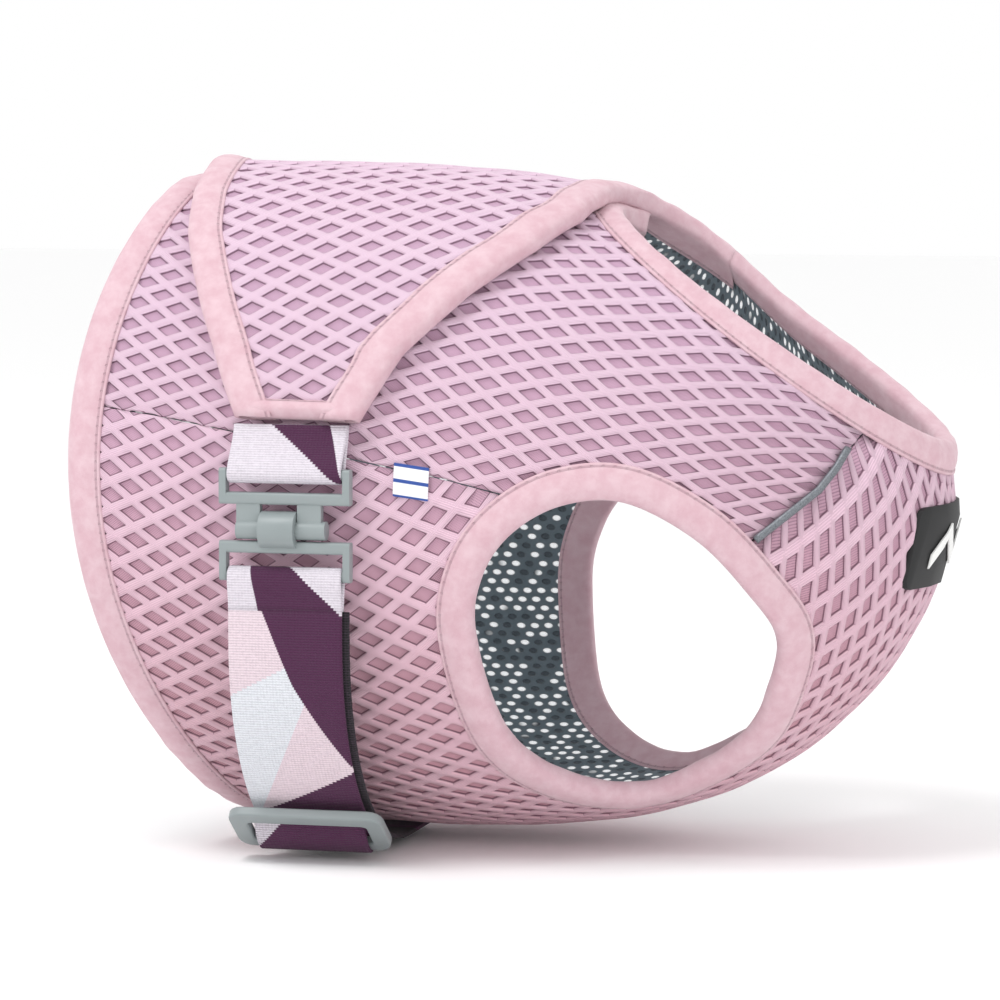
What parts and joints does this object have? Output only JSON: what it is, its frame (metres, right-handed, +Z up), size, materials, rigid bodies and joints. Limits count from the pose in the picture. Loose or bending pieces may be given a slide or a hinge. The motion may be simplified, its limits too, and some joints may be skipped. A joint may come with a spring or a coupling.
{
  "type": "dog cooling vest",
  "caption": "Wrap-around cooling vest for a medium dog: quilted panels, leg openings, an overlapping back wing and an elastic belly strap with hook buckle and slider.",
  "frame": {"origin": "middle of the space the dog's chest fills, half way between spine and belly and half way between the flanks", "axes": "+X towards the dog's head, +Y to the dog's left, +Z up towards the spine"},
  "size_m": [0.2916, 0.2019, 0.236],
  "materials": {
    "diamond_knit": "matt knit with raised diamond ribs",
    "absorbent_core": "matt nonwoven",
    "mesh_lining": "matt open mesh",
    "edge_tape": "brushed stretch tape",
    "reflective_piping": "satin reflective",
    "patterned_webbing": "woven elastic, printed facets",
    "purple_webbing": "woven elastic",
    "black_webbing": "woven elastic",
    "buckle_plastic": "moulded, satin",
    "badge_rubber": "moulded, matt",
    "badge_print": "raised, satin",
    "woven_tab": "woven label"
  },
  "bodies": {
    "vest": {"chest_belly_outer": "diamond_knit", "right_back_outer": "diamond_knit", "left_back_outer": "diamond_knit", "chest_belly_core": "absorbent_core", "right_back_core": "absorbent_core", "left_back_core": "absorbent_core", "chest_belly_lining": "mesh_lining", "right_back_lining": "mesh_lining", "left_back_lining": "mesh_lining", "tail_edge_tape": "edge_tape", "neck_edge_tape": "edge_tape", "right_end_tape": "edge_tape", "right_armhole_tape": "edge_tape", "left_armhole_tape": "edge_tape", "right_piping": "reflective_piping", "left_piping": "reflective_piping", "right_seam_tape": "edge_tape", "left_seam_tape": "edge_tape", "chest_badge": "badge_rubber", "badge_mark": "badge_print", "side_tab": "woven_tab", "strap_anchor": "purple_webbing"},
    "wing": {"wing_outer": "diamond_knit", "wing_core": "absorbent_core", "wing_lining": "mesh_lining", "wing_rear_tape": "edge_tape", "wing_front_tape": "edge_tape", "wing_tip_tape": "edge_tape", "upper_loop": "patterned_webbing", "buckle_bar_half": "buckle_plastic"},
    "belly_strap": {"strap_front": "patterned_webbing", "strap_back": "black_webbing"},
    "hook": {"buckle_hook_half": "buckle_plastic", "hook_fold": "patterned_webbing"},
    "slider": {"slider_frame": "buckle_plastic", "slider_fold": "purple_webbing"}
  },
  "joints": [
    {"name": "wing_open", "type": "hinge", "parent": "vest", "child": "wing", "pos_m": [-0.11524, 0.02956, 0.1175], "axis": [-0.997, 0.0731, 0.0243], "range_deg": [0, 135]},
    {"name": "strap_swing", "type": "hinge", "parent": "vest", "child": "belly_strap", "pos_m": [-0.048, -0.015, -0.11593], "axis": [1, 0, 0], "range_deg": [0, 70]},
    {"name": "hook_turn", "type": "hinge", "parent": "belly_strap", "child": "hook", "pos_m": [-0.048, -0.101, -0.0025], "axis": [-1, 0, 0], "range_deg": [0, 60]},
    {"name": "slider_adjust", "type": "hinge", "parent": "belly_strap", "child": "slider", "pos_m": [-0.048, -0.025, -0.04018], "axis": [-1, 0, 0], "range_deg": [0, 28]}
  ]
}
